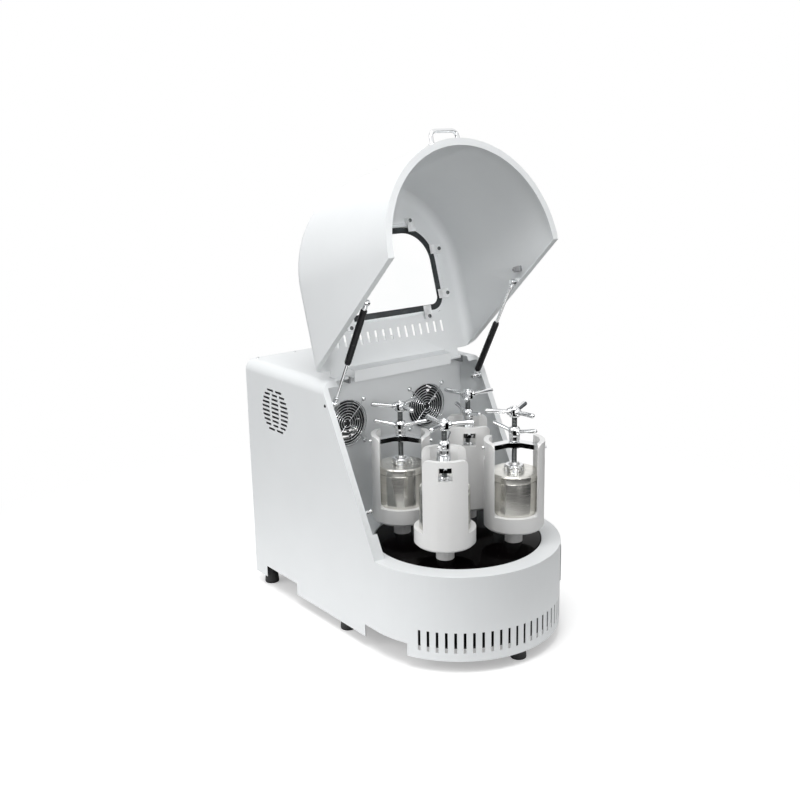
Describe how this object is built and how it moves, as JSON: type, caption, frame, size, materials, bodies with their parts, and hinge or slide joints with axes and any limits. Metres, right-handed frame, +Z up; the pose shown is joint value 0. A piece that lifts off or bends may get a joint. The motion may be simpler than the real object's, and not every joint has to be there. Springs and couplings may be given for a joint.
{
  "type": "planetary ball mill",
  "caption": "Bench planetary ball mill: clamped steel jars in turning pots on a turntable, under a tilting windowed hood held up by gas springs.",
  "frame": {"origin": "centre of the bounding box on the surface that the feet stand on", "axes": "+Z up, -Y towards the rounded front, +X to the right seen from the front, hood standing open"},
  "size_m": [0.47, 0.758, 1.1292],
  "materials": {
    "white_coat": "semi-gloss powder coat",
    "holder_coat": "satin powder coat",
    "black_coat": "high gloss enamel",
    "spring_black": "satin enamel",
    "motor_grey": "satin enamel",
    "plated_sheet": "zinc plated",
    "machined_steel": "turned",
    "jar_steel": "brushed stainless",
    "polished_steel": "polished",
    "cast_grey": "machined casting",
    "belt_rubber": "matte",
    "foot_rubber": "matte",
    "seal_rubber": "satin",
    "pulley_alloy": "turned",
    "black_plastic": "matte",
    "panel_grey": "matte",
    "clip_white": "moulded",
    "clear_pane": "clear"
  },
  "bodies": {
    "base": {"housing_shell": "white_coat", "deck_ring": "white_coat", "chamber_back_panel": "white_coat", "rear_panel": "white_coat", "base_plate": "plated_sheet", "rubber_feet": "foot_rubber", "drive_motor": "motor_grey", "drive_belt": "belt_rubber", "bearing_column": "cast_grey", "sun_gear": "machined_steel", "fan_frames": "black_plastic", "fan_guards": "polished_steel", "control_panel": "panel_grey", "power_inlet": "black_plastic", "housing_studs": "polished_steel", "hinge_brackets": "plated_sheet"},
    "table": {"main_shaft": "machined_steel", "turntable": "black_coat"},
    "motor_rotor": {"motor_pulley": "pulley_alloy"},
    "left_fan": {"left_fan_rotor": "black_plastic"},
    "right_fan": {"right_fan_rotor": "black_plastic"},
    "button": {"start_button": "black_plastic"},
    "rocker": {"power_switch": "black_plastic"},
    "lid": {"lid_shell": "white_coat", "lid_window": "clear_pane", "window_gasket": "seal_rubber", "window_clips": "clip_white", "lid_handle": "polished_steel"},
    "left_rod": {"left_spring_rod": "polished_steel"},
    "left_cylinder": {"left_spring_cylinder": "spring_black"},
    "right_cylinder": {"right_spring_cylinder": "spring_black"},
    "right_rod": {"right_spring_rod": "polished_steel"},
    "planet_1": {"planet_gear_1": "machined_steel", "pot_holder_1": "holder_coat", "jar_1": "jar_steel", "jar_lid_1": "jar_steel", "clamp_bar_1": "polished_steel"},
    "nut_1": {"lock_nut_1": "polished_steel"},
    "screw_1": {"clamp_screw_1": "polished_steel"},
    "planet_2": {"planet_gear_2": "machined_steel", "pot_holder_2": "holder_coat", "jar_2": "jar_steel", "jar_lid_2": "jar_steel", "clamp_bar_2": "polished_steel"},
    "nut_2": {"lock_nut_2": "polished_steel"},
    "screw_2": {"clamp_screw_2": "polished_steel"},
    "planet_3": {"planet_gear_3": "machined_steel", "pot_holder_3": "holder_coat", "jar_3": "jar_steel", "jar_lid_3": "jar_steel", "clamp_bar_3": "polished_steel"},
    "nut_3": {"lock_nut_3": "polished_steel"},
    "screw_3": {"clamp_screw_3": "polished_steel"},
    "planet_4": {"planet_gear_4": "machined_steel", "pot_holder_4": "holder_coat", "jar_4": "jar_steel", "jar_lid_4": "jar_steel", "clamp_bar_4": "polished_steel"},
    "nut_4": {"lock_nut_4": "polished_steel"},
    "screw_4": {"clamp_screw_4": "polished_steel"}
  },
  "joints": [
    {"name": "table_spin", "type": "hinge", "parent": "base", "child": "table", "pos_m": [0, -0.144, 0.211], "axis": [0, 0, 1], "continuous": true},
    {"name": "motor_spin", "type": "hinge", "parent": "base", "child": "motor_rotor", "pos_m": [0, 0.2475, 0.09], "axis": [0, 0, 1], "continuous": true},
    {"name": "left_fan_spin", "type": "hinge", "parent": "base", "child": "left_fan", "pos_m": [-0.12, 0.13, 0.4575], "axis": [0, 1, 0], "continuous": true},
    {"name": "right_fan_spin", "type": "hinge", "parent": "base", "child": "right_fan", "pos_m": [0.12, 0.13, 0.4575], "axis": [0, 1, 0], "continuous": true},
    {"name": "button_press", "type": "slide", "parent": "base", "child": "button", "axis": [0.9455, -0.3256, 0], "range_m": [-0.003, 0], "stiffness_N_per_m": 200},
    {"name": "rocker_tilt", "type": "hinge", "parent": "base", "child": "rocker", "pos_m": [-0.08, 0.368, 0.12], "axis": [1, 0, 0], "range_deg": [-14, 0]},
    {"name": "lid_hinge", "type": "hinge", "parent": "base", "child": "lid", "pos_m": [0, 0.0648, 0.5814], "axis": [1, 0, 0], "range_deg": [0, 106.73]},
    {"name": "left_spring_swing", "type": "hinge", "parent": "base", "child": "left_rod", "pos_m": [-0.208, 0.03, 0.536], "axis": [1, 0, 0], "range_deg": [0, 115.3]},
    {"name": "left_spring_stroke", "type": "slide", "parent": "left_rod", "child": "left_cylinder", "axis": [0, -0.473, 0.8811], "range_m": [-0.0832, 0]},
    {"name": "right_spring_swing", "type": "hinge", "parent": "base", "child": "right_cylinder", "pos_m": [0.208, 0.03, 0.536], "axis": [1, 0, 0], "range_deg": [0, 115.3]},
    {"name": "right_spring_stroke", "type": "slide", "parent": "right_cylinder", "child": "right_rod", "axis": [0, -0.473, 0.8811], "range_m": [-0.0832, 0]},
    {"name": "planet_spin_1", "type": "hinge", "parent": "table", "child": "planet_1", "pos_m": [-0.10244, -0.22404, 0.24], "axis": [0, 0, 1], "continuous": true},
    {"name": "nut_rise_1", "type": "slide", "parent": "planet_1", "child": "nut_1", "axis": [0, 0, 1], "range_m": [0, 0.00876]},
    {"name": "screw_turn_1", "type": "hinge", "parent": "nut_1", "child": "screw_1", "pos_m": [-0.10244, -0.22404, 0.47], "axis": [0, 0, 1], "range_deg": [0, 1800]},
    {"name": "planet_spin_2", "type": "hinge", "parent": "table", "child": "planet_2", "pos_m": [0.08004, -0.24644, 0.24], "axis": [0, 0, 1], "continuous": true},
    {"name": "nut_rise_2", "type": "slide", "parent": "planet_2", "child": "nut_2", "axis": [0, 0, 1], "range_m": [0, 0.00876]},
    {"name": "screw_turn_2", "type": "hinge", "parent": "nut_2", "child": "screw_2", "pos_m": [0.08004, -0.24644, 0.47], "axis": [0, 0, 1], "range_deg": [0, 1800]},
    {"name": "planet_spin_3", "type": "hinge", "parent": "table", "child": "planet_3", "pos_m": [0.10244, -0.06396, 0.24], "axis": [0, 0, 1], "continuous": true},
    {"name": "nut_rise_3", "type": "slide", "parent": "planet_3", "child": "nut_3", "axis": [0, 0, 1], "range_m": [0, 0.00876]},
    {"name": "screw_turn_3", "type": "hinge", "parent": "nut_3", "child": "screw_3", "pos_m": [0.10244, -0.06396, 0.47], "axis": [0, 0, 1], "range_deg": [0, 1800]},
    {"name": "planet_spin_4", "type": "hinge", "parent": "table", "child": "planet_4", "pos_m": [-0.08004, -0.04156, 0.24], "axis": [0, 0, 1], "continuous": true},
    {"name": "nut_rise_4", "type": "slide", "parent": "planet_4", "child": "nut_4", "axis": [0, 0, 1], "range_m": [0, 0.00876]},
    {"name": "screw_turn_4", "type": "hinge", "parent": "nut_4", "child": "screw_4", "pos_m": [-0.08004, -0.04156, 0.47], "axis": [0, 0, 1], "range_deg": [0, 1800]}
  ],
  "couplings": [
    {"joint": "motor_spin", "follows": "table_spin", "ratio": 2},
    {"joint": "left_spring_swing", "follows": "lid_hinge", "ratio": 1.076},
    {"joint": "left_spring_stroke", "follows": "lid_hinge", "m_per_rad": -0.0445},
    {"joint": "right_spring_swing", "follows": "lid_hinge", "ratio": 1.076},
    {"joint": "right_spring_stroke", "follows": "lid_hinge", "m_per_rad": -0.0445},
    {"joint": "planet_spin_1", "follows": "table_spin", "ratio": 1},
    {"joint": "nut_rise_1", "follows": "screw_turn_1", "m_per_rad": 0.00027852},
    {"joint": "planet_spin_2", "follows": "table_spin", "ratio": 1},
    {"joint": "nut_rise_2", "follows": "screw_turn_2", "m_per_rad": 0.00027852},
    {"joint": "planet_spin_3", "follows": "table_spin", "ratio": 1},
    {"joint": "nut_rise_3", "follows": "screw_turn_3", "m_per_rad": 0.00027852},
    {"joint": "planet_spin_4", "follows": "table_spin", "ratio": 1},
    {"joint": "nut_rise_4", "follows": "screw_turn_4", "m_per_rad": 0.00027852}
  ]
}
